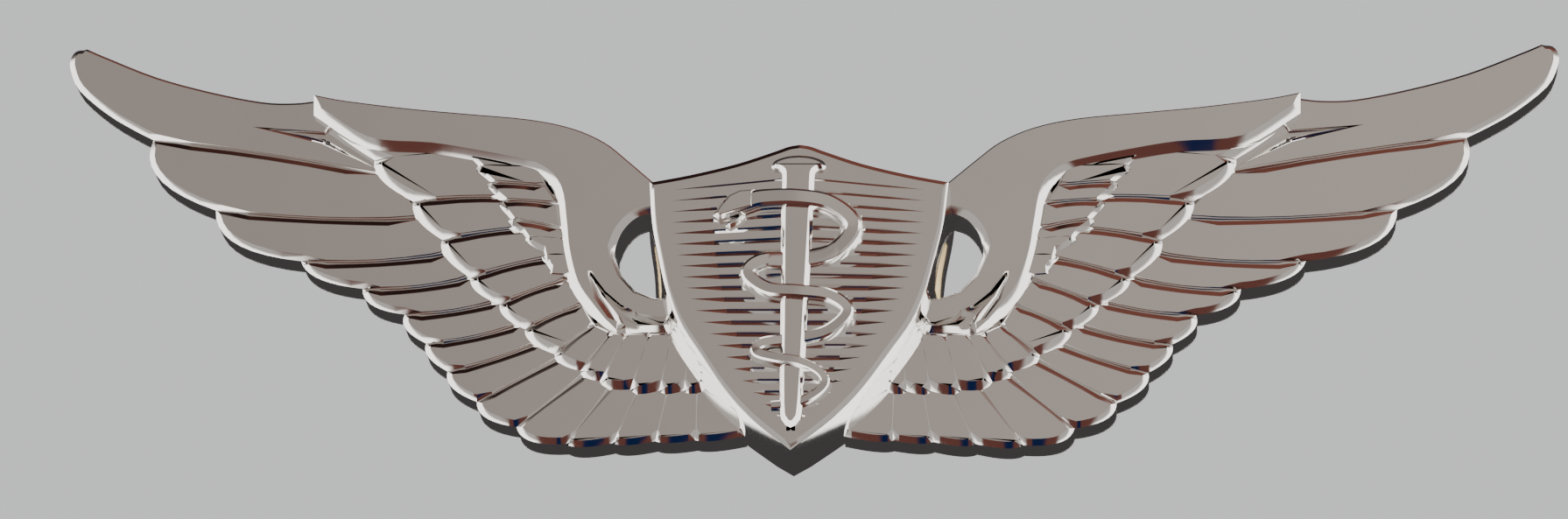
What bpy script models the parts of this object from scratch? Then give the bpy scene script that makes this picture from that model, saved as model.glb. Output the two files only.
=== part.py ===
# Wings pin: a struck wings plate with a shield soldered on its hub, two posts on the
# back, and a butterfly clutch on each post.
# Metres. +X runs along the span, +Z is up as worn, the front faces -Y and the clothing
# lies on the +Y side. The origin is on the plate's back face, behind the shield.
import math

import bmesh
import bpy
from mathutils import Matrix, Vector

MM = 0.001
GAP = 0.3 * MM  # left between pieces that are soldered or crimped together

# Wings plate: heights of the struck levels above the back face
HUB_THICK = 0.8 * MM
PRIMARY_TOP = 1.6 * MM  # long outer feathers
COVERT_TOP = 1.85 * MM  # middle row
SCAPULAR_TOP = 2.06 * MM  # short row beside the arm
ARM_TOP = 2.25 * MM  # smooth leading edge and its hook
LEVEL_ROOT = 0.5 * MM  # the raised levels start inside the plate
ARM_DROP = 0.12 * MM  # how far each level stands below the plate's top edge
SCAPULAR_DROP = 1.1 * MM
COVERT_DROP = 0.75 * MM
GROOVE_HALF = 0.15 * MM  # half width and depth of the cuts between feathers
LEAN = 0.22  # where a feather tip bulges most, as a part of its chord
CURVE_STEPS = 4

# Shield
SHIELD_TOP = 3.3 * MM
SHIELD_SPREAD = 1.055  # foot of the drafted wall against the face
SHIELD_CENTRE_Z = -2.0 * MM
RULE_PITCH = 0.56 * MM  # horizontal ruling on the face
RULE_HALF = 0.1 * MM
RULE_COUNT = 22
RULE_FIRST_Z = 2.9 * MM
RULE_MARGIN = 0.75 * MM
STAFF_TOP = 3.75 * MM
SERPENT_RADIUS = 0.42 * MM

# Posts
POST_X = 14.3 * MM
POST_Z = 2.0 * MM
POST_RADIUS = 0.55 * MM
POST_END = 8.3 * MM
POST_HEAD_RADIUS = 1.9 * MM
POST_HEAD_THICK = 0.45 * MM
NECK_RADIUS = 0.42 * MM  # waist near the point that the clutch grips
NECK_START = 5.4 * MM
NECK_LENGTH = 0.7 * MM
POINT_LENGTH = 1.1 * MM

# Butterfly clutch, measured along the post from its face against the cloth
CLUTCH_Y = 1.3 * MM
BASE_RADIUS = 4.25 * MM
BASE_THICK = 0.4 * MM
BASE_HOLE = 0.85 * MM
NUB_RADIUS = 0.35 * MM
NUB_CIRCLE = 2.9 * MM
NUB_COUNT = 3
CAP_RADIUS = 4.9 * MM
CAP_WALL = 0.35 * MM
CAP_TOP_RADIUS = 3.5 * MM
CAP_SHOULDER = 1.1 * MM
CAP_HEIGHT = 2.7 * MM
SLOT_LENGTH = 6.2 * MM
SLOT_WIDTH = 3.9 * MM
LEAF_WIDTH = 3.2 * MM
LEAF_THICK = 0.35 * MM
LEAF_PIVOT_X = 2.3 * MM
LEAF_PIVOT_Y = 1.15 * MM
JAW_REACH = 0.9 * MM  # from the post's centre to the jaw's edge
LEAF_RISE = 4.6 * MM
LEAF_FLARE = 0.35 * MM
LEAF_CURL = 0.55 * MM

ROUND_STEPS = 40

# Half of each outline, on the +X side, as (x, z) in millimetres
ARM_CREST = [(7.0, 3.8), (7.9, 4.6), (9.0, 5.5), (10.5, 6.2), (12.5, 6.65), (15.5, 6.95), (18.0, 7.2),
             (21.0, 7.6), (22.5, 7.9)]
TIP_CREST = [(22.5, 7.9), (23.5, 7.79), (25.0, 7.85), (27.4, 8.35), (30.0, 9.1), (32.4, 10.1), (33.5, 10.57)]
TIP_ROUND = [(33.5, 10.57), (34.0, 10.45), (34.15, 9.9), (34.0, 9.1), (33.4, 8.25), (32.2, 7.3), (30.7, 6.4),
             (29.95, 6.0)]
# Notches between the outer feathers, each with the bulge of the tip that follows it
OUTER_NOTCHES = [(29.95, 6.0, 0.42), (26.8, 2.5, 0.36), (22.7, 0.0, 0.26), (19.8, -1.35, 0.36),
                 (17.8, -2.6, 0.4), (16.75, -4.0, 0.34), (15.7, -5.35, 0.36), (14.3, -6.8, 0.36),
                 (12.45, -8.0, 0.34), (10.2, -8.8, 0.16), (8.1, -8.75, 0.14), (6.2, -8.65, 0.12),
                 (4.4, -8.6, 0.1), (2.2, -8.4, 0.0)]
COVERT_NODES = [(21.6, 6.4, 0.1), (19.6, 4.9, 0.3), (17.7, 2.85, 0.3), (16.3, 0.95, 0.3), (14.9, -0.9, 0.3),
                (13.5, -2.2, 0.3), (12.3, -3.4, 0.3), (10.9, -4.6, 0.3), (9.7, -5.4, 0.3), (8.8, -5.9, 0.26),
                (7.4, -6.3, 0.22), (6.1, -6.35, 0.2), (5.0, -6.35, 0.2), (3.9, -6.3, 0.0)]
SCAPULAR_NODES = [(15.6, 5.2, 0.1), (15.0, 4.5, 0.3), (14.45, 3.7, 0.3), (13.85, 2.8, 0.3), (13.4, 1.9, 0.3),
                  (12.6, 1.0, 0.3), (11.6, 0.1, 0.3), (11.3, -0.8, 0.0)]
ARM_UNDERSIDE = [(22.5, 7.0), (20.0, 5.4), (17.0, 5.1), (15.0, 4.75), (12.7, 4.2), (11.5, 3.8), (10.95, 2.9),
                 (10.75, 1.5), (10.5, 0.0), (10.0, -1.4), (9.1, -2.4), (8.2, -3.1), (7.0, -3.45), (5.8, -3.6)]
EYE_OPENING = [(6.0, 1.6), (6.5, 2.1), (7.3, 2.0), (8.0, 1.2), (8.3, 0.1), (8.0, -1.0), (7.3, -1.75),
               (6.5, -1.95), (6.1, -1.3), (6.0, 0.0)]
# Cuts between feathers, from the edge inwards
PRIMARY_CUTS = [((30.4, 6.2), (20.0, 4.4)), ((27.4, 2.7), (18.3, 2.1)), ((23.4, -0.2), (16.7, 0.35)),
                ((20.2, -1.6), (15.4, -0.85)), ((18.1, -2.9), (14.1, -2.15)), ((17.1, -4.3), (12.9, -3.4)),
                ((16.0, -5.7), (11.6, -4.7)), ((14.6, -7.2), (10.5, -5.5)), ((12.7, -8.4), (9.5, -6.2)),
                ((10.4, -9.2), (8.3, -6.7)), ((8.2, -9.1), (7.2, -6.9))]
COVERT_CUTS = [((17.4, 2.8), (13.9, 2.85)), ((15.9, 1.1), (13.4, 1.4)), ((14.7, -0.4), (11.7, 0.0)),
               ((13.2, -2.0), (11.0, -1.2)), ((12.0, -3.3), (10.2, -2.4)), ((10.7, -4.4), (9.2, -3.3)),
               ((9.5, -5.3), (8.3, -3.9)), ((8.6, -5.8), (7.4, -4.3))]
SCAPULAR_CUTS = [((14.2, 3.7), (12.4, 3.5)), ((13.6, 2.8), (11.4, 2.6)), ((12.9, 1.8), (11.2, 1.4))]

SHIELD_EDGE = [(0.0, 4.94), (0.5, 4.85), (1.15, 4.6), (2.85, 4.0), (4.9, 3.47), (6.74, 3.1)]
SHIELD_SIDE = [(6.74, 3.1), (6.55, 1.15), (6.2, -0.5), (5.8, -2.1), (5.2, -3.6), (4.26, -5.06), (3.1, -6.77),
               (1.8, -8.2), (0.0, -9.7)]
STAFF_HALF = [(0.0, 4.25), (0.6, 4.2), (1.1, 3.98), (1.2, 3.7), (0.75, 3.45), (0.7, 1.5), (0.6, -2.5),
              (0.45, -8.3), (0.3, -8.6), (0.0, -8.7)]
SERPENT_ROUTE = [(-3.4, 1.3), (-2.6, 1.9), (-1.4, 2.2), (0.0, 2.15), (1.6, 1.75), (2.6, 0.75), (1.5, -0.6),
                 (-0.5, -0.85), (-2.05, -1.2), (-1.3, -2.25), (0.2, -2.4), (1.6, -2.6), (2.35, -3.4),
                 (1.4, -4.4), (-0.4, -4.6), (-1.6, -5.05), (-1.0, -5.5), (0.3, -5.6), (1.2, -6.2),
                 (1.3, -6.9), (0.5, -7.45), (-0.85, -7.6)]


def clear_scene():
    for item in list(bpy.data.objects):
        bpy.data.objects.remove(item, do_unlink=True)


def new_collection(name):
    group = bpy.data.collections.new(name)
    bpy.context.scene.collection.children.link(group)
    return group


def new_material(name, colour, roughness):
    material = bpy.data.materials.new(name)
    material.use_nodes = True
    shader = material.node_tree.nodes["Principled BSDF"]
    shader.inputs["Base Color"].default_value = (*colour, 1.0)
    shader.inputs["Roughness"].default_value = roughness
    shader.inputs["Metallic"].default_value = 1.0
    return material


def smooth_line(points, steps=CURVE_STEPS):
    """Catmull-Rom line through the points, without its last point."""
    line = [Vector(point[:2]) for point in points]
    ends = [2 * line[0] - line[1]] + line + [2 * line[-1] - line[-2]]
    result = []
    for before, start, end, after in zip(ends, ends[1:], ends[2:], ends[3:]):
        for step in range(steps):
            t = step / steps
            result.append(0.5 * (2 * start + (end - before) * t
                                 + (2 * before - 5 * start + 4 * end - after) * t * t
                                 + (3 * start - 3 * end + after - before) * t * t * t))
    return result


def scallops(nodes, steps=CURVE_STEPS):
    """Feather tips between the nodes, bulging to the left of the way along them."""
    result = []
    for (x, z, bulge), (next_x, next_z, _) in zip(nodes, nodes[1:]):
        start = Vector((x, z))
        chord = Vector((next_x, next_z)) - start
        corner = start + LEAN * chord + bulge * Vector((-chord.y, chord.x))
        for step in range(steps):
            t = step / steps
            result.append((1 - t) ** 2 * start + 2 * t * (1 - t) * corner + t * t * (start + chord))
    return result


def mirrored(half):
    """Closed outline from the half at +X, whose ends lie on the mid-line."""
    points = [Vector(point[:2]) for point in half]
    return points + [Vector((-p.x, p.y)) for p in reversed(points) if p.x > 1e-6]


def as_mesh(source, group):
    """Replaces a curve or a modified object by its mesh."""
    bpy.context.view_layer.update()
    evaluated = source.evaluated_get(bpy.context.evaluated_depsgraph_get())
    mesh = bpy.data.meshes.new_from_object(evaluated)
    mesh.transform(source.matrix_world)
    mesh.name = source.name
    cage = bmesh.new()
    cage.from_mesh(mesh)
    bmesh.ops.remove_doubles(cage, verts=cage.verts, dist=0.001 * MM)
    bmesh.ops.recalc_face_normals(cage, faces=cage.faces)
    cage.to_mesh(mesh)
    cage.free()
    name = source.name
    bpy.data.objects.remove(source, do_unlink=True)
    result = bpy.data.objects.new(name, mesh)
    group.objects.link(result)
    return result


def slab(name, outline, low, high, group):
    """Solid between two heights above the back face, from an outline in millimetres."""
    curve = bpy.data.curves.new(name, "CURVE")
    curve.dimensions = "2D"
    curve.fill_mode = "BOTH"
    curve.extrude = (high - low) / 2
    spline = curve.splines.new("POLY")
    spline.points.add(len(outline) - 1)
    for place, point in zip(spline.points, outline):
        place.co = (point[0] * MM, point[1] * MM, 0.0, 1.0)
    spline.use_cyclic_u = True
    source = bpy.data.objects.new(name, curve)
    source.location = (0.0, -(low + high) / 2, 0.0)
    source.rotation_euler = (math.pi / 2, 0.0, 0.0)
    group.objects.link(source)
    return as_mesh(source, group)


def turned(name, profile, group, steps=ROUND_STEPS):
    """Turned solid along +Y from (radius, y) points listed from its far end to its near end."""
    mesh = bpy.data.meshes.new(name)
    mesh.from_pydata([(radius, 0.0, y) for radius, y in profile],
                     [(i, i + 1) for i in range(len(profile) - 1)], [])
    source = bpy.data.objects.new(name, mesh)
    source.rotation_euler = (-math.pi / 2, 0.0, 0.0)
    group.objects.link(source)
    screw = source.modifiers.new("turn", "SCREW")
    screw.steps = steps
    screw.render_steps = steps
    screw.use_merge_vertices = True
    screw.merge_threshold = 0.001 * MM
    return as_mesh(source, group)


def bars(name, cuts, height, half_width, group):
    """Square bars on edge, one for each cut, that leave V-shaped grooves."""
    cage = bmesh.new()
    for start, end in cuts:
        start = Vector((start[0] * MM, -height, start[1] * MM))
        end = Vector((end[0] * MM, -height, end[1] * MM))
        along = (end - start).normalized()
        depth = Vector((0.0, 1.0, 0.0))
        across = depth.cross(along)
        turn = Matrix((across, depth, along)).transposed().to_4x4()
        place = Matrix.Translation((start + end) / 2) @ turn
        bmesh.ops.create_cone(cage, cap_ends=True, segments=4, radius1=half_width,
                              radius2=half_width, depth=(end - start).length, matrix=place)
    mesh = bpy.data.meshes.new(name)
    cage.to_mesh(mesh)
    cage.free()
    result = bpy.data.objects.new(name, mesh)
    group.objects.link(result)
    return result


def box(name, size, centre, group):
    cage = bmesh.new()
    bmesh.ops.create_cube(cage, size=1.0)
    bmesh.ops.scale(cage, verts=cage.verts, vec=size)
    bmesh.ops.translate(cage, verts=cage.verts, vec=centre)
    mesh = bpy.data.meshes.new(name)
    cage.to_mesh(mesh)
    cage.free()
    result = bpy.data.objects.new(name, mesh)
    group.objects.link(result)
    return result


def combine(target, operation, others, use_self=False):
    for other in others:
        cut = target.modifiers.new(other.name, "BOOLEAN")
        cut.operation = operation
        cut.solver = "EXACT"
        cut.use_self = use_self
        cut.object = other
        other.hide_render = True
        other.display_type = "WIRE"


def move_origin(item, origin):
    """Puts the object's origin on its joint's axis and leaves its shape in place."""
    item.data.transform(Matrix.Translation(-Vector(origin)))
    item.location = origin


def both_sides(cuts):
    return cuts + [((-a[0], a[1]), (-b[0], b[1])) for a, b in cuts]


def make_wings(parts, cutters):
    hub_top = [Vector((0.0, 3.0)), Vector((6.0, 3.0))]
    crest = smooth_line(ARM_CREST)
    outer = crest + smooth_line(TIP_CREST) + smooth_line(TIP_ROUND) + scallops(OUTER_NOTCHES)
    plate = slab("wing_plate", mirrored(hub_top + outer + [(2.2, -8.4), (0.0, -8.4)]),
                 0.0, PRIMARY_TOP, parts)
    levels = [
        ("covert_level", COVERT_DROP, crest, scallops(COVERT_NODES) + [(3.9, -6.3), (0.0, -6.3)], COVERT_TOP),
        ("scapular_level", SCAPULAR_DROP, crest[:-3 * CURVE_STEPS],
         scallops(SCAPULAR_NODES) + [(9.0, -1.2), (0.0, -1.2)], SCAPULAR_TOP),
        ("arm_level", ARM_DROP, crest, smooth_line(ARM_UNDERSIDE) + [(5.8, -3.6), (0.0, -3.6)], ARM_TOP)]
    raised = []
    for name, drop, upper, lower, top in levels:
        upper = [point - Vector((0.0, drop / MM)) for point in hub_top + upper]
        raised.append(slab(name, mirrored(upper + lower), LEVEL_ROOT, top, cutters))
    combine(plate, "UNION", raised)
    seat = slab("shield_seat", mirrored([(x * SHIELD_SPREAD * 1.045, z * SHIELD_SPREAD * 1.03 + 0.3)
                                         for x, z in shield_half()]),
                HUB_THICK, 2 * ARM_TOP, cutters)
    right_eye = slab("right_eye", smooth_line(EYE_OPENING + EYE_OPENING[:1]), -ARM_TOP, 2 * ARM_TOP, cutters)
    left_eye = slab("left_eye", [(-p.x, p.y) for p in smooth_line(EYE_OPENING + EYE_OPENING[:1])],
                    -ARM_TOP, 2 * ARM_TOP, cutters)
    grooves = [bars("primary_grooves", both_sides(PRIMARY_CUTS), PRIMARY_TOP, GROOVE_HALF, cutters),
               bars("covert_grooves", both_sides(COVERT_CUTS), COVERT_TOP, GROOVE_HALF, cutters),
               bars("scapular_grooves", both_sides(SCAPULAR_CUTS), SCAPULAR_TOP, GROOVE_HALF, cutters)]
    combine(plate, "DIFFERENCE", [seat, right_eye, left_eye] + grooves)
    return plate


def shield_half():
    return smooth_line(SHIELD_EDGE, 2) + smooth_line(SHIELD_SIDE, 2) + [Vector(SHIELD_SIDE[-1])]


def shield_half_width(z):
    """Half the face's width in millimetres at a height."""
    for (x, low), (next_x, high) in zip(SHIELD_SIDE[::-1], SHIELD_SIDE[-2::-1]):
        if low <= z <= high:
            return x + (next_x - x) * (z - low) / (high - low)
    return SHIELD_SIDE[0][0]


def make_shield(parts, cutters):
    low = HUB_THICK + GAP
    shield = slab("shield", mirrored(shield_half()), low, SHIELD_TOP, parts)
    for vertex in shield.data.vertices:
        if vertex.co.y > -(low + SHIELD_TOP) / 2:
            vertex.co.x *= SHIELD_SPREAD
            vertex.co.z = SHIELD_CENTRE_Z + (vertex.co.z - SHIELD_CENTRE_Z) * SHIELD_SPREAD
    rules = []
    for index in range(RULE_COUNT):
        z = (RULE_FIRST_Z - index * RULE_PITCH) / MM
        reach = min(shield_half_width(z), shield_half_width(z - 0.5)) - RULE_MARGIN / MM
        rules.append(((-reach, z), (reach, z)))
    combine(shield, "DIFFERENCE", [bars("ruling", rules, SHIELD_TOP, RULE_HALF, cutters)])
    staff = slab("staff", mirrored(STAFF_HALF), (low + SHIELD_TOP) / 2, STAFF_TOP, cutters)
    combine(shield, "UNION", [staff, make_serpent(cutters)], use_self=True)
    return shield


def make_serpent(group):
    """Round body that lies on the face, rises over the staff and passes under it."""
    curve = bpy.data.curves.new("serpent", "CURVE")
    curve.dimensions = "3D"
    curve.bevel_depth = SERPENT_RADIUS
    curve.bevel_resolution = 2
    curve.use_fill_caps = True
    route = smooth_line(SERPENT_ROUTE, 3)
    spline = curve.splines.new("POLY")
    spline.points.add(len(route) - 1)
    for index, (place, point) in enumerate(zip(spline.points, route)):
        over_staff = math.exp(-(point.x / 0.9) ** 2) if index % 24 < 14 else 0.0
        height = SHIELD_TOP + 0.38 * MM * over_staff
        place.co = (point.x * MM, -height, point.y * MM, 1.0)
        place.radius = 1.0 - 0.45 * index / len(route)
    source = bpy.data.objects.new("serpent", curve)
    group.objects.link(source)
    return as_mesh(source, group)


def make_post(name, side, parts):
    near = GAP
    profile = [(0.0, POST_END), (POST_RADIUS * 0.35, POST_END - 0.1 * MM),
               (POST_RADIUS, POST_END - POINT_LENGTH), (POST_RADIUS, NECK_START + NECK_LENGTH),
               (NECK_RADIUS, NECK_START + 0.75 * NECK_LENGTH), (NECK_RADIUS, NECK_START + 0.25 * NECK_LENGTH),
               (POST_RADIUS, NECK_START), (POST_RADIUS, near + POST_HEAD_THICK + 0.25 * MM),
               (POST_RADIUS + 0.25 * MM, near + POST_HEAD_THICK),
               (POST_HEAD_RADIUS - 0.1 * MM, near + POST_HEAD_THICK),
               (POST_HEAD_RADIUS, near + POST_HEAD_THICK - 0.1 * MM), (POST_HEAD_RADIUS, near), (0.0, near)]
    post = turned(name, profile, parts, 24)
    post.location = (side * POST_X, 0.0, POST_Z)
    return post


def make_base(name, parts, cutters):
    base = turned(name, [(0.0, BASE_THICK), (BASE_RADIUS - 0.12 * MM, BASE_THICK),
                         (BASE_RADIUS, BASE_THICK - 0.12 * MM), (BASE_RADIUS, 0.12 * MM),
                         (BASE_RADIUS - 0.12 * MM, 0.0), (0.0, 0.0)], parts)
    hole = turned(name + "_hole", [(0.0, 2 * BASE_THICK), (BASE_HOLE, 2 * BASE_THICK),
                                   (BASE_HOLE, 0.1 * MM), (BASE_HOLE + 0.45 * MM, -0.35 * MM),
                                   (0.0, -0.35 * MM)], cutters, 24)
    combine(base, "DIFFERENCE", [hole])
    for index in range(NUB_COUNT):
        angle = 2 * math.pi * (index + 0.25) / NUB_COUNT
        nub = turned("{}_nub_{}".format(name, index), [
            (0.0, 0.2 * MM), (NUB_RADIUS, 0.2 * MM), (NUB_RADIUS, 0.0), (0.0, -0.3 * MM)], cutters, 12)
        nub.data.transform(Matrix.Translation((NUB_CIRCLE * math.cos(angle), 0.0,
                                               NUB_CIRCLE * math.sin(angle))))
        combine(base, "UNION", [nub])
    return base


def make_cap(name, parts, cutters):
    top_inner = CAP_HEIGHT - CAP_WALL
    profile = [(0.0, CAP_HEIGHT), (CAP_TOP_RADIUS - 0.35 * MM, CAP_HEIGHT),
               (CAP_TOP_RADIUS, CAP_HEIGHT - 0.3 * MM), (CAP_TOP_RADIUS + 0.35 * MM, CAP_SHOULDER + 0.5 * MM),
               (CAP_RADIUS - 0.35 * MM, CAP_SHOULDER), (CAP_RADIUS, CAP_SHOULDER - 0.35 * MM),
               (CAP_RADIUS, 0.15 * MM), (CAP_RADIUS - 0.12 * MM, 0.0), (CAP_RADIUS - CAP_WALL, 0.0),
               (CAP_RADIUS - CAP_WALL, CAP_SHOULDER - CAP_WALL - 0.05 * MM),
               (CAP_TOP_RADIUS + 0.1 * MM, CAP_SHOULDER + 0.1 * MM),
               (CAP_TOP_RADIUS - CAP_WALL, top_inner - 0.1 * MM),
               (CAP_TOP_RADIUS - CAP_WALL - 0.3 * MM, top_inner), (0.0, top_inner)]
    cap = turned(name, profile, parts)
    slot = box(name + "_slot", (SLOT_LENGTH, CAP_HEIGHT, SLOT_WIDTH), (0.0, CAP_HEIGHT, 0.0), cutters)
    combine(cap, "DIFFERENCE", [slot])
    return cap


def make_leaf(name, side, parts, cutters):
    """Bent spring strip: a jaw beside the post, and a wing that stands out of the cap."""
    half = LEAF_THICK / 2
    middle = [(JAW_REACH, LEAF_PIVOT_Y), (LEAF_PIVOT_X - 0.3 * MM, LEAF_PIVOT_Y),
              (LEAF_PIVOT_X, LEAF_PIVOT_Y + 0.3 * MM),
              (LEAF_PIVOT_X + 0.4 * LEAF_FLARE, LEAF_PIVOT_Y + 0.5 * LEAF_RISE),
              (LEAF_PIVOT_X + LEAF_FLARE, LEAF_PIVOT_Y + 0.9 * LEAF_RISE),
              (LEAF_PIVOT_X + LEAF_FLARE + LEAF_CURL, LEAF_PIVOT_Y + LEAF_RISE)]
    curve = bpy.data.curves.new(name, "CURVE")
    curve.dimensions = "3D"
    spline = curve.splines.new("POLY")
    spline.points.add(len(middle) - 1)
    for place, (x, y) in zip(spline.points, middle):
        place.co = (x, y, 0.0, 1.0)
    source = bpy.data.objects.new(name, curve)
    curve.extrude = LEAF_WIDTH / 2 - 0.05 * MM
    parts.objects.link(source)
    strip = source.modifiers.new("thickness", "SOLIDIFY")
    strip.thickness = 2 * half
    strip.offset = 0.0
    strip.use_even_offset = True
    leaf = as_mesh(source, parts)
    notch = turned(name + "_notch", [(0.0, 3 * MM), (BASE_HOLE + 0.25 * MM, 3 * MM),
                                     (BASE_HOLE + 0.25 * MM, 0.0), (0.0, 0.0)], cutters, 24)
    combine(leaf, "DIFFERENCE", [notch])
    leaf = as_mesh(leaf, parts)
    bpy.data.objects.remove(notch, do_unlink=True)
    if side < 0:
        leaf.data.transform(Matrix.Rotation(math.pi, 4, "Y"))
    return leaf


def make_clutch(prefix, side, parts, cutters, brass, spring):
    carrier = bpy.data.objects.new(prefix + "_clutch_axis", None)
    carrier.location = (side * POST_X, CLUTCH_Y, POST_Z)
    parts.objects.link(carrier)
    held = set(cutters.objects)
    base = make_base(prefix + "_clutch_base", parts, cutters)
    cap = make_cap(prefix + "_clutch_cap", parts, cutters)
    for item in [base, cap] + [cutter for cutter in cutters.objects if cutter not in held]:
        item.parent = carrier
    for item in (base, cap):
        item.data.materials.append(brass)
    for label, way in (("right", 1), ("left", -1)):
        leaf = make_leaf("{}_clutch_{}_leaf".format(prefix, label), way, parts, cutters)
        move_origin(leaf, (way * LEAF_PIVOT_X, LEAF_PIVOT_Y, 0.0))
        leaf.parent = carrier
        leaf.data.materials.append(spring)


def main():
    clear_scene()
    parts = new_collection("wings_pin")
    cutters = new_collection("cutters")
    silver = new_material("polished_silver_plate", (0.78, 0.77, 0.75), 0.08)
    nickel = new_material("post_nickel", (0.62, 0.6, 0.57), 0.25)
    brass = new_material("clutch_brass", (0.78, 0.6, 0.27), 0.28)
    spring = new_material("leaf_brass", (0.7, 0.55, 0.3), 0.32)
    for item in (make_wings(parts, cutters), make_shield(parts, cutters)):
        item.data.materials.append(silver)
    for prefix, side in (("right", 1), ("left", -1)):
        post = make_post(prefix + "_post", side, parts)
        post.data.materials.append(nickel)
        make_clutch(prefix, side, parts, cutters, brass, spring)


main()
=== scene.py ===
import math
import bmesh
import bpy
from mathutils import Matrix, Vector


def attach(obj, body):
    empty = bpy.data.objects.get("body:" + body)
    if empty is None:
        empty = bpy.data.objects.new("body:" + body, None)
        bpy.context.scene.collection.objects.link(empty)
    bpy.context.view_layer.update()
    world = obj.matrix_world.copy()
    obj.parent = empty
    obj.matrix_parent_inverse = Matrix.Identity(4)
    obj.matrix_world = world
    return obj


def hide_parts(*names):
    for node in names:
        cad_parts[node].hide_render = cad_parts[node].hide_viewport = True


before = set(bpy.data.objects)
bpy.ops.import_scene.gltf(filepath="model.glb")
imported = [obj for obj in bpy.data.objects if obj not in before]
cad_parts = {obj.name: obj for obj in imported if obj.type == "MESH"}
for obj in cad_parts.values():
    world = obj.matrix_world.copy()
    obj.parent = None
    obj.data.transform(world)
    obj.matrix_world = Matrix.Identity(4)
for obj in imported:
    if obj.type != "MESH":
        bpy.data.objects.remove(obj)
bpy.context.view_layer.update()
mm = 0.001

cameraSet = {"lens": 120, "azimuth": 5.0, "elevation": -22.0, "fieldWidth": 70.62 * mm,
             "aim": Vector((-0.69 * mm, -1.6 * mm, 0.0))}
studio = {"backdrop": (0.74, 0.745, 0.76), "tent": (0.325, 0.283, 0.256), "tentRight": (0.435, 0.383, 0.35),
          "side": (2.6, 2.5, 2.38), "sideFront": (0.5, 0.465, 0.44), "roof": (0.17, 0.06, 0.045),
          "roofLeft": (0.022, 0.01, 0.009), "pit": (0.03, 0.012, 0.011), "pitFront": (0.12, 0.045, 0.036),
          "pitMiddle": (0.005, 0.014, 0.055), "behind": (0.055, 0.05, 0.052),
          "floorDrop": 0.12, "floorSize": 4.0, "floorColour": (0.8, 0.8, 0.79), "floorRoughness": 0.8,
          "lampSize": 0.5}
# where each colour of the tent gives way to the next, on the direction's x, y or z
tentEdges = {"roofMiddle": (-0.16, -0.02), "roof": (0.52, 0.8), "pitFront": (-0.5, -0.3),
             "pitMiddle": (0.06, 0.12), "pit": (0.25, 0.5), "tentRight": (-0.2, 0.05), "behind": (-0.08, 0.1),
             "sideBack": (0.3, 0.7), "sideBackShift": 0.4, "side": (0.28, 0.42), "sideTop": (0.38, 0.58),
             "sideFront": (-0.635, -0.545)}


def makeCamera():
    azimuth, elevation = math.radians(cameraSet["azimuth"]), math.radians(cameraSet["elevation"])
    back = Vector((math.sin(azimuth) * math.cos(elevation), -math.cos(azimuth) * math.cos(elevation),
                   math.sin(elevation)))
    right = Vector((1, 0, 0)) - back * back.x  # keeps the span level in the view
    right.normalize()
    up = back.cross(right)
    camera = bpy.data.objects.new("camera", bpy.data.cameras.new("camera"))
    bpy.context.scene.collection.objects.link(camera)
    camera.data.lens = cameraSet["lens"]
    distance = cameraSet["fieldWidth"] * camera.data.lens / camera.data.sensor_width
    camera.data.clip_start = 0.01
    place = Matrix((right, up, back)).transposed().to_4x4()
    place.translation = cameraSet["aim"] + back * distance
    camera.matrix_world = place
    bpy.context.scene.camera = camera


class Nodes:
    # short hand for building a node tree
    def __init__(self, tree):
        self.tree = tree

    def add(self, kind, **settings):
        node = self.tree.nodes.new(kind)
        for name, value in settings.items():
            setattr(node, name, value)
        return node

    def link(self, source, target):
        self.tree.links.new(source, target)

    def math(self, operation, first, second=None):
        node = self.add("ShaderNodeMath", operation=operation)
        for socket, value in zip(node.inputs, (first, second)):
            if isinstance(value, (int, float)):
                socket.default_value = value
            elif value is not None:
                self.link(value, socket)
        return node.outputs[0]

    def ramp(self, value, low, high):
        node = self.add("ShaderNodeMapRange", interpolation_type="SMOOTHSTEP")
        self.link(value, node.inputs["Value"])
        node.inputs["From Min"].default_value = low
        node.inputs["From Max"].default_value = high
        return node.outputs["Result"]

    def mix(self, factor, first, second):
        node = self.add("ShaderNodeMix", data_type="RGBA")
        self.link(factor, node.inputs["Factor"])
        for socket, value in ((node.inputs[6], first), (node.inputs[7], second)):
            if isinstance(value, tuple):
                socket.default_value = (*value, 1.0)
            else:
                self.link(value, socket)
        return node.outputs[2]


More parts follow.
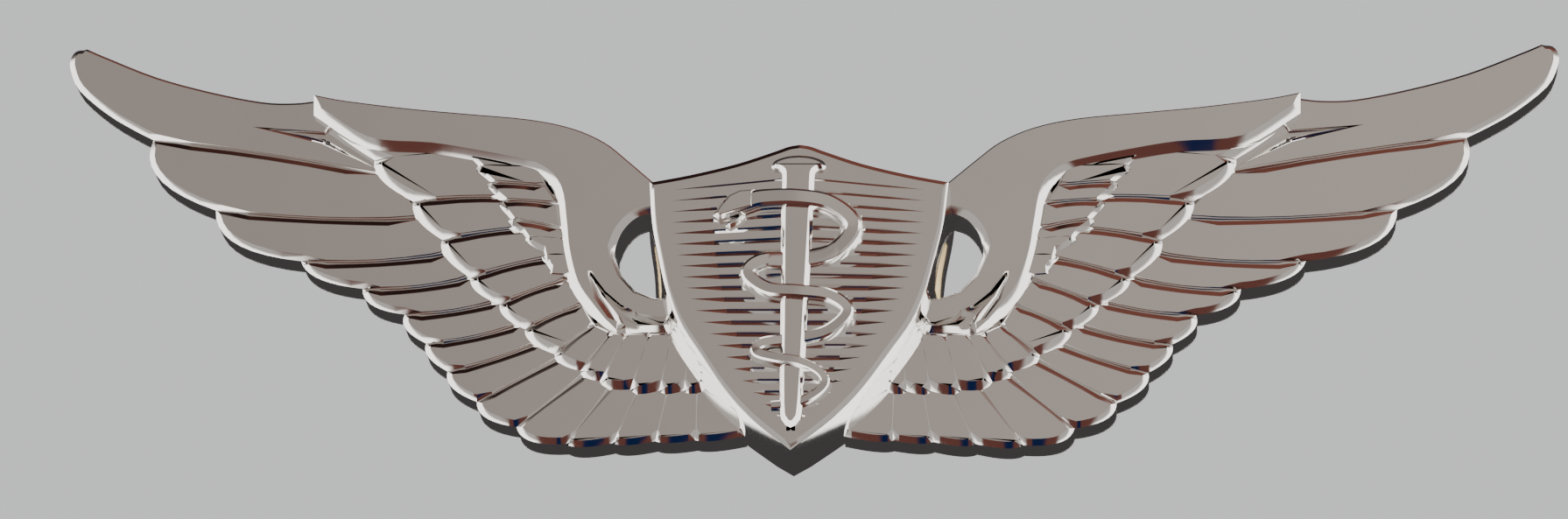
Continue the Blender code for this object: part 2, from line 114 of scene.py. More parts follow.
def makeWorld():
    # a light tent: grey in front, bright at both sides, brown overhead, dark below and behind
    world = bpy.data.worlds.new("tent")
    world.use_nodes = True
    bpy.context.scene.world = world
    nodes = Nodes(world.node_tree)
    nodes.tree.nodes.clear()
    axes = nodes.add("ShaderNodeSeparateXYZ")
    nodes.link(nodes.add("ShaderNodeTexCoord").outputs["Generated"], axes.inputs[0])
    x, y, z = axes.outputs
    aside = nodes.math("ABSOLUTE", x)
    roof = nodes.mix(nodes.ramp(x, *tentEdges["roofMiddle"]), studio["roofLeft"], studio["roof"])
    pit = nodes.mix(nodes.ramp(y, *tentEdges["pitFront"]), studio["pitFront"], studio["pit"])
    pit = nodes.mix(nodes.ramp(aside, *tentEdges["pitMiddle"]), studio["pitMiddle"], pit)
    colour = nodes.mix(nodes.ramp(x, *tentEdges["tentRight"]), studio["tent"], studio["tentRight"])
    colour = nodes.mix(nodes.ramp(z, *tentEdges["roof"]), colour, roof)
    below = nodes.math("MULTIPLY", z, -1.0)
    colour = nodes.mix(nodes.ramp(below, *tentEdges["pit"]), colour, pit)
    colour = nodes.mix(nodes.ramp(y, *tentEdges["behind"]), colour, studio["behind"])
    shift = nodes.math("MULTIPLY", nodes.ramp(y, *tentEdges["sideBack"]), tentEdges["sideBackShift"])
    reach = nodes.math("SUBTRACT", aside, shift)
    lowEnough = nodes.math("SUBTRACT", 1.0, nodes.ramp(z, *tentEdges["sideTop"]))
    sideLight = nodes.math("MULTIPLY", nodes.ramp(reach, *tentEdges["side"]), lowEnough)
    side = nodes.mix(nodes.ramp(y, *tentEdges["sideFront"]), studio["sideFront"], studio["side"])
    colour = nodes.mix(sideLight, colour, side)
    tent = nodes.add("ShaderNodeBackground")
    nodes.link(colour, tent.inputs["Color"])
    backdrop = nodes.add("ShaderNodeBackground")
    backdrop.inputs["Color"].default_value = (*studio["backdrop"], 1.0)
    pick = nodes.add("ShaderNodeMixShader")
    nodes.link(nodes.add("ShaderNodeLightPath").outputs["Is Camera Ray"], pick.inputs[0])
    nodes.link(tent.outputs[0], pick.inputs[1])
    nodes.link(backdrop.outputs[0], pick.inputs[2])
    nodes.link(pick.outputs[0], nodes.add("ShaderNodeOutputWorld").inputs["Surface"])


def makeFloor():
    bm = bmesh.new()
    bmesh.ops.create_grid(bm, x_segments=1, y_segments=1, size=studio["floorSize"])
    bmesh.ops.translate(bm, verts=bm.verts, vec=(0.0, 0.0, -studio["floorDrop"]))
    mesh = bpy.data.meshes.new("floor")
    bm.to_mesh(mesh)
    bm.free()
    floor = bpy.data.objects.new("floor", mesh)
    bpy.context.scene.collection.objects.link(floor)
    material = bpy.data.materials.new("paleFloor")
    material.use_nodes = True
    shader = material.node_tree.nodes["Principled BSDF"]
    shader.inputs["Base Color"].default_value = (*studio["floorColour"], 1.0)
    shader.inputs["Roughness"].default_value = studio["floorRoughness"]
    mesh.materials.append(material)
    floor.visible_glossy = False  # the polished metal mirrors the tent, not the floor


def makeLight(name, place, watts):
    data = bpy.data.lights.new(name, "AREA")
    data.shape = "DISK"
    data.size = studio["lampSize"]
    data.energy = watts
    light = bpy.data.objects.new(name, data)
    light.location = place
    light.visible_glossy = False  # the metal mirrors the tent only
    light.rotation_euler = (-Vector(place)).to_track_quat("-Z", "Y").to_euler()
    bpy.context.scene.collection.objects.link(light)


makeCamera()
makeWorld()
makeFloor()
makeLight("keyLight", (-0.5, -0.7, 0.9), 14.0)
makeLight("backLight", (0.6, 0.8, 0.7), 12.0)
print("studio ready")


# outlines are in millimetres: x along the span, z up, heights above the plate's back
def flow(points, steps=8):
    # smooth line through the points, both ends kept
    line = [Vector(p[:2]) for p in points]
    ends = [2 * line[0] - line[1]] + line + [2 * line[-1] - line[-2]]
    result = []
    for before, start, end, after in zip(ends, ends[1:], ends[2:], ends[3:]):
        for step in range(steps):
            t = step / steps
            result.append(0.5 * (2 * start + (end - before) * t
                                 + (2 * before - 5 * start + 4 * end - after) * t * t
                                 + (3 * start - 3 * end + after - before) * t ** 3))
    return result + [line[-1]]


def featherTip(start, end, bulge, lean=0.22, steps=9):
    # one rounded tip that bulges to the left of the way from start to end
    start, end = Vector(start), Vector(end)
    chord = end - start
    corner = start + lean * chord + bulge * Vector((-chord.y, chord.x))
    return [(1 - t) ** 2 * start + 2 * t * (1 - t) * corner + t * t * end
            for t in (step / steps for step in range(steps + 1))]


def bowed(start, end, bow=0.0, steps=6):
    start, end = Vector(start), Vector(end)
    side = Vector((-(end - start).y, (end - start).x))
    shares = [step / steps for step in range(steps + 1)]
    return [start.lerp(end, t) + side * (4 * bow * t * (1 - t)) for t in shares]


def sloped(line, width, drop, lastWidth=None, lastDrop=None):
    # gives each point of a line the width and the drop of the slope along it
    lastWidth = width if lastWidth is None else lastWidth
    lastDrop = drop if lastDrop is None else lastDrop
    count = max(1, len(line) - 1)
    return [(Vector(p[:2]), width + (lastWidth - width) * i / count, drop + (lastDrop - drop) * i / count)
            for i, p in enumerate(line)]


repeatGap = 0.03  # points closer than this are one


def closed(*lines):
    # one closed outline of sloped points, clockwise, without repeats
    result = []
    for item in (i for line in lines for i in line):
        if not result or (item[0] - result[-1][0]).length > repeatGap:
            result.append(item)
    while (result[0][0] - result[-1][0]).length < repeatGap:
        result.pop()
    area = sum(p.x * q.y - q.x * p.y for (p, _, _), (q, _, _) in zip(result, result[1:] + result[:1]))
    return result if area < 0 else list(reversed(result))


def tablet(bm, outline, foot, top, soften=0.05):
    # raises an outline from foot to top, with its own slope along each stretch of the top edge
    count = len(outline)
    spots = []
    for i, (point, width, drop) in enumerate(outline):
        before = (point - outline[i - 1][0]).normalized()
        after = (outline[(i + 1) % count][0] - point).normalized()
        inward = Vector((before.y, -before.x)) + Vector((after.y, -after.x))
        inward.normalize()
        reach = 1 / max(0.5, inward.dot(Vector((after.y, -after.x))))
        spots.append((point, inward * reach * width, drop))
    verts = [bm.verts.new((p.x * mm, -foot * mm, p.y * mm)) for p, _, _ in spots]
    face = bm.faces.new(verts)
    face.smooth = True
    for share, level in ((0.0, 1.0), (1.0 - soften, soften * 0.8), (1.0 + soften, 0.0)):
        face = [g for g in bmesh.ops.extrude_face_region(bm, geom=[face, *face.edges])["geom"]
                if isinstance(g, bmesh.types.BMFace)][0]
        places = {(round(v.co.x, 8), round(v.co.z, 8)): v for v in face.verts}
        ring = [places[round(old.co.x, 8), round(old.co.z, 8)] for old in verts]
        for vert, (point, inward, drop) in zip(ring, spots):
            spot = point + inward * share
            vert.co = (spot.x * mm, -(top - drop * level) * mm, spot.y * mm)
        verts = ring
    face.smooth = False  # the top stays flat and its edges turn down softly
    bmesh.ops.triangulate(bm, faces=[face], ngon_method="BEAUTY")


def ribbon(bm, stations, section):
    # extrudes a section along stations (x, z, halfWidth, foot, top); the section is in parts of them
    places = [Vector(s[:2]) for s in stations]
    mats = []
    for index, (x, z, half, foot, top) in enumerate(stations):
        ahead = places[min(index + 1, len(places) - 1)] - places[max(index - 1, 0)]
        ahead.normalize()
        across = Vector((-ahead.y, 0.0, ahead.x)) * (half * mm)
        out = Vector((0.0, -(top - foot) * mm, 0.0))
        along = Vector((ahead.x, 0.0, ahead.y)) * mm
        mat = Matrix((across, out, along)).transposed().to_4x4()
        mat.translation = Vector((x * mm, -foot * mm, z * mm))
        mats.append(mat)
    face = bm.faces.new([bm.verts.new(mats[0] @ Vector((u, v, 0.0))) for u, v in section])
    face.smooth = True
    for last, mat in zip(mats, mats[1:]):
        face = [g for g in bmesh.ops.extrude_face_region(bm, geom=[face, *face.edges])["geom"]
                if isinstance(g, bmesh.types.BMFace)][0]
        bmesh.ops.transform(bm, matrix=mat @ last.inverted(), verts=face.verts)


def mirrorAcross(bm):
    geom = list(bm.verts) + list(bm.edges) + list(bm.faces)
    bmesh.ops.mirror(bm, geom=geom, matrix=Matrix.Identity(4), merge_dist=0.0001 * mm, axis="X")


def newPiece(name, bm, material, smoothAngle=26):
    bmesh.ops.recalc_face_normals(bm, faces=bm.faces)
    smooth = [face.smooth for face in bm.faces]
    mesh = bpy.data.meshes.new(name)
    bm.to_mesh(mesh)
    bm.free()
    mesh.set_sharp_from_angle(angle=math.radians(smoothAngle))
    mesh.polygons.foreach_set("use_smooth", smooth)
    mesh.materials.append(material)
    piece = bpy.data.objects.new(name, mesh)
    bpy.context.scene.collection.objects.link(piece)
    return piece


def place(piece, body, slot, *nodes):
    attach(piece, body)
    if nodes:
        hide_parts(*nodes)


metalGrain = {"cloudScale": 320.0, "cloudDetail": 5.0, "darkest": 0.93, "marksDetail": 3.0,
              "satinDepth": (-0.25 * mm, -0.1 * mm)}


def newMetal(name, colour, roughness, spread, bumpScale, bumpHeight, backRoughness=None):
    # polished metal: cloudy gloss and faint polishing marks from the object's own coordinates
    material = bpy.data.materials.new(name)
    material.use_nodes = True
    nodes = Nodes(material.node_tree)
    shader = nodes.tree.nodes["Principled BSDF"]
    shader.inputs["Metallic"].default_value = 1.0
    where = nodes.add("ShaderNodeTexCoord").outputs["Object"]
    cloud = nodes.add("ShaderNodeTexNoise")
    cloud.inputs["Scale"].default_value = metalGrain["cloudScale"]
    cloud.inputs["Detail"].default_value = metalGrain["cloudDetail"]
    nodes.link(where, cloud.inputs["Vector"])
    tint = nodes.mix(cloud.outputs["Fac"], tuple(metalGrain["darkest"] * c for c in colour), colour)
    nodes.link(tint, shader.inputs["Base Color"])
    gloss = nodes.add("ShaderNodeMapRange")
    nodes.link(cloud.outputs["Fac"], gloss.inputs["Value"])
    gloss.inputs["To Min"].default_value = roughness
    gloss.inputs["To Max"].default_value = roughness + spread
    rough = gloss.outputs["Result"]
    if backRoughness:
        depth = nodes.add("ShaderNodeSeparateXYZ")
        nodes.link(where, depth.inputs[0])
        atBack = nodes.ramp(depth.outputs[1], *metalGrain["satinDepth"])
        satin = nodes.math("MULTIPLY", atBack, backRoughness)
        rough = nodes.math("MAXIMUM", rough, satin)
    nodes.link(rough, shader.inputs["Roughness"])
    marks = nodes.add("ShaderNodeTexNoise")
    marks.inputs["Scale"].default_value = bumpScale
    marks.inputs["Detail"].default_value = metalGrain["marksDetail"]
    nodes.link(where, marks.inputs["Vector"])
    bump = nodes.add("ShaderNodeBump")
    bump.inputs["Strength"].default_value = 1.0
    bump.inputs["Distance"].default_value = bumpHeight
    nodes.link(marks.outputs["Fac"], bump.inputs["Height"])
    nodes.link(bump.outputs["Normal"], shader.inputs["Normal"])
    return material


silver = newMetal("mirrorSilver", (0.95, 0.94, 0.92), 0.05, 0.07, 900.0, 0.0008 * mm, backRoughness=0.42)
nickel = newMetal("brightNickel", (0.72, 0.7, 0.66), 0.16, 0.12, 2400.0, 0.004 * mm)
brass = newMetal("pressedBrass", (0.83, 0.64, 0.3), 0.18, 0.16, 1800.0, 0.006 * mm)
springBrass = newMetal("springBrass", (0.74, 0.58, 0.33), 0.22, 0.16, 2200.0, 0.005 * mm)


wings = {
    "primaryTop": 1.6, "covertTop": 1.88, "scapularTop": 2.04, "armTop": 2.25, "coreTop": 1.3, "sheet": 0.3,
    # widths and drops of the slopes round the edges
    "rim": (0.25, 0.2), "ridge": (0.38, 0.3), "gentle": (0.42, 0.17), "steep": (0.05, 0.18), "overlap": 0.05,
    "tipEdge": (0.12, 0.1), "crestEdge": (0.07, 0.06), "underEdge": (0.4, 0.34), "endEdge": (0.1, 0.1),
    "covertInner": (0.16, 0.14), "plain": (0.02, 0.02), "rowFoot": 0.6, "coreStep": 0.05, "coreShare": 0.12,
    "hubFoot": 0.004, "hubTop": 0.85,
    "crest": [(5.6, 2.9), (6.4, 3.3), (7.0, 3.8), (7.9, 4.6), (9.0, 5.5), (10.5, 6.2), (12.5, 6.65),
              (15.5, 6.95), (18.0, 7.2), (21.0, 7.6), (22.5, 7.9)],
    "tipCrest": [(22.5, 7.9), (23.5, 7.79), (25.0, 7.85), (27.4, 8.35), (30.0, 9.1), (32.4, 10.1),
                 (33.4, 10.55)],
    "tipRound": [(33.4, 10.55), (33.9, 10.5), (34.15, 10.1), (34.1, 9.5), (33.6, 8.5), (32.2, 7.3),
                 (30.9, 6.5), (29.95, 6.0)],
    "tipNick": [((22.0, 6.02), 0.3, 0.2), ((25.35, 6.58), 0.02, 0.02), ((22.0, 6.28), 0.03, 0.2)],
    "tipRoot": (21.3, 7.5),
    # outer notch, bulge of the tip below it, inner end of its cut, bow, strength inside and outside
    "primaries": [
        ((29.95, 6.0), 0.42, (19.0, 4.25), 0.012, 1.0, 0.9),
        ((26.8, 2.5), 0.36, (17.2, 2.1), -0.02, 1.0, 0.9),
        ((22.7, 0.0), 0.26, (15.6, 0.45), -0.03, 1.0, 1.0),
        ((19.8, -1.35), 0.36, (14.6, -0.7), -0.04, 1.0, 1.0),
        ((17.8, -2.6), 0.4, (13.2, -1.8), -0.04, 1.0, 1.0),
        ((16.75, -4.0), 0.34, (12.2, -2.9), -0.04, 1.0, 0.9),
        ((15.7, -5.35), 0.36, (11.2, -3.7), -0.03, 0.95, 0.85),
        ((14.3, -6.8), 0.36, (10.2, -4.4), 0.0, 0.9, 0.75),
        ((12.45, -8.0), 0.34, (9.2, -5.2), 0.0, 0.85, 0.45),
        ((10.2, -8.8), 0.16, (8.0, -5.6), 0.0, 0.75, 0.25),
        ((8.1, -8.75), 0.14, (6.9, -5.8), 0.0, 0.6, 0.2),
        ((6.2, -8.65), 0.12, (5.7, -5.8), 0.0, 0.4, 0.2),
        ((4.4, -8.6), 0.1, (4.5, -5.8), 0.0, 0.4, 0.2),
        ((2.2, -8.4), 0.0, (3.0, -5.8), 0.0, 0.4, 0.2)],
    "coverts": [
        ((21.9, 6.8), 0.1, (18.0, 6.2), 0.0, 1.0, 1.0),
        ((19.6, 4.9), 0.3, (14.0, 5.4), 0.0, 0.1, 0.1),
        ((17.7, 2.85), 0.3, (11.3, 2.9), 0.03, 1.0, 1.0),
        ((16.3, 0.95), 0.3, (10.9, 1.6), 0.03, 1.0, 1.0),
        ((14.9, -0.9), 0.3, (10.6, 0.2), 0.03, 1.0, 1.0),
        ((13.5, -2.2), 0.3, (10.4, -1.0), 0.03, 0.9, 1.0),
        ((12.3, -3.4), 0.3, (9.6, -2.2), 0.03, 0.8, 1.0),
        ((10.9, -4.6), 0.3, (9.1, -3.2), 0.02, 0.5, 1.0),
        ((9.7, -5.4), 0.3, (8.3, -3.55), 0.0, 0.2, 0.9),
        ((8.8, -5.9), 0.3, (7.6, -3.6), 0.0, 0.1, 0.6),
        ((7.4, -6.3), 0.3, (6.6, -3.6), 0.0, 0.08, 0.3),
        ((6.1, -6.35), 0.3, (5.6, -3.6), 0.0, 0.08, 0.3),
        ((5.0, -6.35), 0.3, (4.8, -3.6), 0.0, 0.08, 0.3),
        ((3.9, -6.3), 0.0, (3.9, -3.6), 0.0, 0.08, 0.3)],
    "scapulars": [
        ((15.6, 5.2), 0.1, (12.5, 5.2), 0.0, 0.05, 0.05),
        ((15.0, 4.5), 0.3, (12.0, 4.4), 0.0, 0.05, 0.05),
        ((14.45, 3.7), 0.3, (11.6, 3.5), 0.02, 0.9, 1.0),
        ((13.85, 2.8), 0.3, (11.0, 2.6), 0.03, 0.9, 1.0),
        ((13.4, 1.9), 0.3, (10.8, 1.4), 0.03, 0.9, 1.0),
        ((12.6, 1.0), 0.3, (10.5, 0.8), 0.03, 0.05, 0.3),
        ((11.6, 0.1), 0.3, (10.4, 0.1), 0.0, 0.05, 0.1),
        ((11.3, -0.8), 0.0, (10.2, -0.8), 0.0, 0.05, 0.05)],
    "armUnderside": [(22.5, 7.0), (20.0, 5.4), (17.0, 5.1), (15.0, 4.75), (13.1, 4.35), (12.0, 4.0),
                     (11.25, 3.2), (10.95, 1.6), (10.75, 0.2), (10.25, -1.5), (9.4, -2.75)],
    # inside of the hook, then round the eye: x, z, width and drop of the slope there
    "hookInside": [(8.75, -3.32, 0.24, 0.3), (8.05, -3.72, 0.05, 0.2), (7.72, -3.3, 0.25, 0.3),
                   (8.05, -2.75, 0.5, 0.36), (8.8, -1.9, 0.4, 0.3), (9.36, -1.0, 0.1, 0.12),
                   (9.4, -0.85, 0.04, 0.05),
                   (9.32, -0.88, 0.04, 0.05), (9.24, -1.02, 0.05, 0.1), (8.68, -1.8, 0.06, 0.4),
                   (7.95, -2.5, 0.08, 0.6), (7.1, -2.95, 0.08, 0.6), (6.2, -3.1, 0.08, 0.6),
                   (5.5, -3.1, 0.08, 0.6), (5.5, -2.1, 0.12, 0.14), (6.4, -2.1, 0.12, 0.14),
                   (7.3, -1.75, 0.13, 0.15), (7.95, -1.0, 0.15, 0.15), (8.3, -0.1, 0.2, 0.15)],
    "valley": [(8.35, -3.45), (7.6, -3.5), (6.9, -3.42), (6.0, -3.4), (4.9, -3.4)],
    "valleySize": (0.21, 1.25, 1.85), "valleySection": [(-1.0, 0.0), (1.0, 0.0), (1.0, 1.0), (-1.0, 0.62)],
    "coreUpper": [(10.6, 3.0), (16.0, 5.5), (22.0, 7.2), (29.0, 7.2)],
    "coreInner": [(3.0, -7.6), (5.0, -3.2), (7.2, -3.0), (8.9, -1.6), (9.3, 0.6)],
    "sheetInner": [(2.2, -3.0), (5.5, -3.0)],
    "hub": [(-5.7, 2.85), (5.7, 2.85), (5.7, -6.0), (3.2, -8.2), (-3.2, -8.2), (-5.7, -6.0)],
    # the last points of hookInside lie round the eye
    "eyePoints": 5, "eyeTop": [(8.3, 0.4), (8.0, 1.2), (7.4, 1.85), (6.5, 2.1), (5.5, 2.1)],
    "eyeSlope": (0.32, 0.19)}


def featherRow(bm, cuts, foot, top, rim, innerSlope=wings["endEdge"]):
    # one tablet for each feather, from a cut to the next: a gentle slope down into the cut above it
    # and a steep edge over the cut below it
    gentle, steep = wings["gentle"], wings["steep"]
    for cut, nextCut in zip(cuts, cuts[1:]):
        notch, bulge, inner, bow, strong, strongOut = cut
        nextNotch, _, nextInner, nextBow, nextStrong, nextStrongOut = nextCut
        upper = sloped(nudged(bowed(inner, notch, bow), 1), gentle[0] * strong, gentle[1] * strong,
                       gentle[0] * strongOut, gentle[1] * strongOut)
        lower = sloped(nudged(bowed(nextNotch, nextInner, -nextBow), 1), steep[0] * nextStrongOut,
                       steep[1] * nextStrongOut, steep[0] * nextStrong, steep[1] * nextStrong)
        tip = sloped(featherTip(notch, nextNotch, bulge), *rim)
        inside = [(Vector(nextInner), *innerSlope), (Vector(inner), *innerSlope)]
        tablet(bm, closed(upper[1:-1], tip, lower[1:-1], inside), foot, top)


def nudged(line, way):
    # moves the line a little to its left, least at the ends
    ahead = (line[-1] - line[0]).normalized()
    side = Vector((-ahead.y, ahead.x)) * wings["overlap"] * way
    count = len(line)
    return [p + side * min(1.0, 3 * i / count, 3 * (count - 1 - i) / count) for i, p in enumerate(line)]


def makeWings():
    bm = bmesh.new()
    first = wings["primaries"][0]
    tip = sloped(flow(wings["tipCrest"], 4), *wings["tipEdge"])
    tip += sloped(flow(wings["tipRound"], 3), *wings["rim"])
    under = sloped(nudged(bowed(first[0], first[2], -first[3]), 1), *wings["steep"])
    nick = [(Vector(p), width, drop) for p, width, drop in wings["tipNick"]]
    root = sloped([wings["tipRoot"]], *wings["endEdge"])
    tablet(bm, closed(tip, under, nick, root), wings["sheet"], wings["primaryTop"])
    featherRow(bm, wings["primaries"], wings["sheet"], wings["primaryTop"], wings["rim"])
    featherRow(bm, wings["coverts"], wings["rowFoot"], wings["covertTop"], wings["ridge"],
               wings["covertInner"])
    featherRow(bm, wings["scapulars"], wings["rowFoot"], wings["scapularTop"], wings["ridge"])
    # sloping floor of the valley between the hook and the covert feathers
    ribbon(bm, [(*p, *wings["valleySize"]) for p in wings["valley"]], wings["valleySection"])
    arm = closed(sloped(flow(wings["crest"], 4), *wings["crestEdge"]),
                 sloped(flow(wings["armUnderside"], 4), *wings["underEdge"]),
                 [(Vector(p[:2]), p[2], p[3]) for p in wings["hookInside"]],
                 sloped(flow(wings["eyeTop"], 4), *wings["eyeSlope"]))
    tablet(bm, arm, wings["sheet"], wings["armTop"])
    core = [Vector(p) for p in wings["coreUpper"]]
    core += [Vector(cut[0]).lerp(Vector(cut[2]), wings["coreShare"]) for cut in wings["primaries"][1:]]
    core += [Vector(p) for p in wings["coreInner"]]
    tablet(bm, closed(sloped(core, *wings["plain"])), wings["sheet"] - wings["coreStep"], wings["coreTop"])
    # the plate's flat back is one sheet under all the feathers
    rimLine = flow(wings["crest"], 4) + flow(wings["tipCrest"], 4) + flow(wings["tipRound"], 3)
    for cut, nextCut in zip(wings["primaries"], wings["primaries"][1:]):
        rimLine += featherTip(cut[0], nextCut[0], cut[1])
    eyeLine = [Vector(p[:2]) for p in wings["hookInside"][-wings["eyePoints"]:]]
    rimLine += [Vector(p) for p in wings["sheetInner"]] + eyeLine + flow(wings["eyeTop"], 4)
    tablet(bm, closed(sloped(rimLine, 0.0, 0.0)), 0.0, wings["sheet"], 0.0)
    mirrorAcross(bm)
    tablet(bm, closed(sloped(wings["hub"], *wings["plain"])), wings["hubFoot"], wings["hubTop"])
    piece = newPiece("wingsPlate", bm, silver)
    place(piece, "badge", "polished_silver", "wing_plate")


makeWings()
print("wings made")


shield = {
    "top": 3.3, "foot": 0.85, "rim": (0.2, 0.12),
    "edge": [(0.0, 4.94), (0.5, 4.85), (1.15, 4.6), (2.85, 4.0), (4.9, 3.47), (6.74, 3.1)],
    "side": [(6.74, 3.1), (6.55, 1.15), (6.2, -0.5), (5.8, -2.1), (5.2, -3.6), (4.26, -5.06), (3.1, -6.77),
             (1.8, -8.2), (0.0, -9.7)],
    # reach of the side walls' feet, for each point of the edge and then of the side
    "spread": [0.25, 0.25, 0.25, 0.25, 0.25, 0.3, 0.32, 0.4, 0.65, 0.95, 1.05, 0.85, 0.55, 0.4],
    "faceThick": 0.5, "wallTop": 0.17, "wallDrop": 0.2, "wallFoot": 0.84, "inlay": 0.2, "ribbonInlay": 0.1,
    "ruleTop": 2.95, "rulePitch": 0.555, "rules": 22, "ruleHalf": 0.17, "ruleDepth": 0.13, "ruleMargin": 0.75,
    "ruleStart": 0.2, "ruleLift": 0.013, "ruleLean": 1.1, "ruleHang": 0.4,
    # tilt and strength of the first rule, and their change from one to the next
    "ruleTilt": (6.0, -0.6), "ruleStrength": (0.45, 0.12),
    "ruleShape": {"tip": 0.1, "shoulder": 1.7, "shoulderShift": 0.16},
    "staffTop": 3.72, "staffFlank": (0.2, 0.26),
    "staff": [(0.0, 4.3), (0.55, 4.24), (1.05, 4.05), (1.22, 3.8), (1.15, 3.62), (0.8, 3.5), (0.72, 3.1),
              (0.72, 1.5), (0.62, -2.5), (0.5, -7.6), (0.32, -8.5), (0.0, -8.75)],
    # serpent's mid-line, with the height of its back: high over the staff, low behind it
    "serpent": [(-2.75, 1.82, 0.5), (-2.2, 1.98, 0.54), (-1.5, 2.12, 0.6), (0.0, 2.12, 0.68),
                (1.5, 1.85, 0.6), (2.55, 0.85, 0.5), (1.7, -0.35, 0.36), (0.0, -0.72, 0.26),
                (-1.5, -0.85, 0.4), (-2.1, -1.5, 0.5), (-1.2, -2.25, 0.58), (0.2, -2.42, 0.68),
                (1.6, -2.6, 0.6), (2.4, -3.3, 0.5), (1.5, -4.2, 0.36), (0.0, -4.55, 0.26),
                (-1.35, -4.8, 0.4), (-1.6, -5.25, 0.5), (-0.8, -5.55, 0.6), (0.3, -5.75, 0.66),
                (1.25, -6.2, 0.55), (1.45, -6.8, 0.45), (0.7, -7.4, 0.32), (-0.2, -7.62, 0.24),
                (-0.9, -7.68, 0.2)],
    # section of the serpent, in parts of its half width and height
    "strap": [(-1.0, 0.0), (-0.86, 0.55), (-0.68, 0.88), (-0.46, 1.0), (0.46, 1.0), (0.68, 0.88),
              (0.86, 0.55), (1.0, 0.0)],
    "serpentHalf": 0.6, "tailHalf": 0.26, "headTop": 3.86, "headSlope": (0.15, 0.25), "headSoften": 0.12,
    "head": [(-1.9, 2.6), (-2.6, 2.55), (-3.1, 2.3), (-3.5, 1.8), (-3.78, 1.3), (-3.5, 1.12), (-3.05, 1.25),
             (-2.75, 1.36), (-2.2, 1.52), (-1.9, 1.6)],
    "jawTop": 3.74,
    "jaw": [(-2.45, 1.45), (-3.0, 1.2), (-3.22, 0.85), (-2.98, 0.68), (-2.6, 0.95), (-2.3, 1.3)]}


def shieldHalfWidth(z):
    for (x, high), (nextX, low) in zip(shield["side"], shield["side"][1:]):
        if low <= z <= high:
            return nextX + (x - nextX) * (z - low) / (high - low)
    return shield["side"][0][0]


def bothHalves(half):
    return half + [Vector((-p.x, p.y)) for p in reversed(half) if p.x > 0.001]


def makeRule():
    # one unit cutter: full for most of its length, then thinning to its outer end
    bm = bmesh.new()
    shape = shield["ruleShape"]
    bmesh.ops.create_cone(bm, cap_ends=True, segments=4, radius1=1.0, radius2=shape["tip"], depth=1.0)
    along = [e for e in bm.edges if e.verts[0].co.z * e.verts[1].co.z < 0]
    bmesh.ops.subdivide_edges(bm, edges=along, cuts=1)
    middle = [v for v in bm.verts if abs(v.co.z) < 0.1]
    bmesh.ops.scale(bm, verts=middle, vec=(shape["shoulder"], shape["shoulder"], 1.0))
    bmesh.ops.translate(bm, verts=middle, vec=(0.0, 0.0, shape["shoulderShift"]))
    rule = bpy.data.meshes.new("rule")
    bm.to_mesh(rule)
    bm.free()
    return rule


def makeRuling():
    # a row of thin cutters on each side, shallow at the top of the shield
    rule = makeRule()
    bm = bmesh.new()
    lean = Matrix.Identity(4)
    lean[2][1] = shield["ruleLean"]  # the deepest line lies near the top edge of each rule
    for index in range(shield["rules"]):
        z = shield["ruleTop"] - index * shield["rulePitch"]
        narrowest = min(shieldHalfWidth(z), shieldHalfWidth(z - shield["ruleHang"]))
        reach = narrowest - shield["ruleMargin"]
        tilt = math.radians(max(0.0, shield["ruleTilt"][0] + shield["ruleTilt"][1] * index))
        strength = min(1.0, shield["ruleStrength"][0] + shield["ruleStrength"][1] * index)
        for side in (-1, 1):
            turn = Matrix.Rotation(side * (math.pi / 2 + tilt), 4, "Y")
            size = Matrix.Diagonal((shield["ruleHalf"] * strength * mm, shield["ruleDepth"] * strength * mm,
                                    (reach - shield["ruleStart"]) * mm, 1.0))
            spot = Matrix.Translation((side * (reach + shield["ruleStart"]) / 2 * mm,
                                       -(shield["top"] + shield["ruleLift"]) * mm, z * mm))
            start = len(bm.verts)
            bm.from_mesh(rule)
            bm.verts.ensure_lookup_table()
            bmesh.ops.transform(bm, matrix=spot @ lean @ turn @ size, verts=bm.verts[start:])
    mesh = bpy.data.meshes.new("ruling")
    bm.to_mesh(mesh)
    bm.free()
    ruling = bpy.data.objects.new("ruling", mesh)
    bpy.context.scene.collection.objects.link(ruling)
    return ruling


def cutWith(piece, cutter):
    # applies a Boolean cut and removes its cutter
    cut = piece.modifiers.new("cut", "BOOLEAN")
    cut.operation = "DIFFERENCE"
    cut.solver = "MANIFOLD"
    cut.object = cutter
    bpy.context.view_layer.update()
    mesh = bpy.data.meshes.new_from_object(piece.evaluated_get(bpy.context.evaluated_depsgraph_get()))
    piece.modifiers.clear()
    piece.data = mesh
    bpy.data.objects.remove(cutter, do_unlink=True)


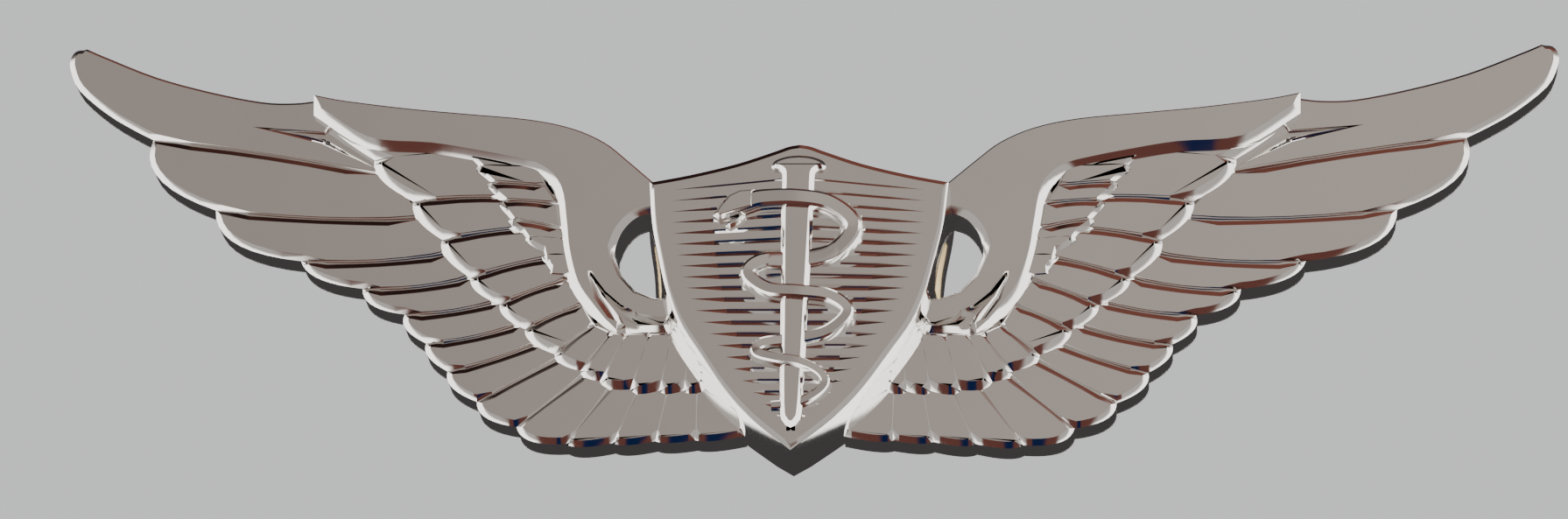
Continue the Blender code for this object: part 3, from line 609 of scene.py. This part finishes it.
def makeShield():
    half = flow(shield["edge"], 4)[:-1] + flow(shield["side"], 4)
    bm = bmesh.new()
    face = closed(sloped(bothHalves(half), *shield["rim"]))
    tablet(bm, face, shield["top"] - shield["faceThick"], shield["top"])
    ruled = newPiece("ruledFace", bm, silver)
    cutWith(ruled, makeRuling())
    bm = bmesh.new()
    bm.from_mesh(ruled.data)
    bpy.data.objects.remove(ruled, do_unlink=True)
    # the drafted wall spreads most along the lower sides
    spreads = [p.y for p in flow(list(enumerate(shield["spread"])), 4)]
    last = len(half) - 1
    wall = []
    for index, (point, spread) in enumerate(zip(half, spreads)):
        ahead = (half[min(index + 1, last)] - half[max(index - 1, 0)]).normalized()
        side = Vector((-ahead.y, ahead.x))
        if index in (0, last):
            side = Vector((0.0, 1.0 if index == 0 else -1.0))
        wall.append((point + side * spread, spread, shield["top"] - shield["foot"] - shield["wallDrop"]))
    wall += [(Vector((-p.x, p.y)), spread, drop) for p, spread, drop in reversed(wall) if p.x > 0.001]
    tablet(bm, closed(wall), shield["wallFoot"], shield["top"] - shield["wallTop"], 0.02)
    staff = closed(sloped(bothHalves(flow(shield["staff"], 4)), *shield["staffFlank"]))
    tablet(bm, staff, shield["top"] - shield["inlay"], shield["staffTop"])
    line = [Vector(p) for p in shield["serpent"]]
    track = flow([(p.x, p.y) for p in line], 6)
    rises = flow([(i, p.z) for i, p in enumerate(line)], 6)
    stations = []
    for index, (p, rise) in enumerate(zip(track, rises)):
        part = index / (len(track) - 1)
        half = shield["serpentHalf"] + (shield["tailHalf"] - shield["serpentHalf"]) * part
        stations.append((p.x, p.y, half, shield["top"] - shield["ribbonInlay"], shield["top"] + rise.y))
    ribbon(bm, stations, shield["strap"])
    for key in ("head", "jaw"):
        outline = closed(sloped(shield[key], *shield["headSlope"]))
        tablet(bm, outline, shield["top"] - shield["inlay"], shield[key + "Top"], shield["headSoften"])
    piece = newPiece("shieldRelief", bm, silver)
    place(piece, "badge", "polished_silver", "shield")


makeShield()
print("shield made")


fittings = {"bevel": 0.05, "segments": 2, "merge": 0.001, "flatAngle": 4.0, "sharpAngle": 32.0,
            "smoothAngle": 30.0}


def makeFitting(node, material, slot, body):
    # a merged copy of the frame's piece, with its faceted rounds smoothed and its edges broken
    bm = bmesh.new()
    bm.from_mesh(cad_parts[node].data)
    bmesh.ops.transform(bm, matrix=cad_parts[node].matrix_world, verts=bm.verts)
    bmesh.ops.remove_doubles(bm, verts=bm.verts, dist=fittings["merge"] * mm)
    bmesh.ops.dissolve_limit(bm, angle_limit=math.radians(fittings["flatAngle"]), verts=bm.verts,
                             edges=bm.edges)
    sharp = [e for e in bm.edges if e.calc_face_angle(0.0) > math.radians(fittings["sharpAngle"])]
    bmesh.ops.bevel(bm, geom=sharp, offset=fittings["bevel"] * mm, offset_type="OFFSET", affect="EDGES",
                    segments=fittings["segments"], profile=0.5, material=-1, clamp_overlap=True)
    for face in bm.faces:
        face.smooth = True
    first, *rest = node.split("_")
    name = first + "".join(word.capitalize() for word in rest) + "Fine"
    place(newPiece(name, bm, material, fittings["smoothAngle"]), body, slot, node)


for side in ("left", "right"):
    makeFitting(side + "_post", nickel, "nickel", "badge")
    makeFitting(side + "_clutch_base", brass, "clutch_brass", side + "_clutch")
    makeFitting(side + "_clutch_cap", brass, "clutch_brass", side + "_clutch")
    for leaf in ("left", "right"):
        makeFitting("{}_clutch_{}_leaf".format(side, leaf), springBrass, "spring_brass",
                    "{}_clutch_leaf_{}".format(side, leaf))
print("fittings made")
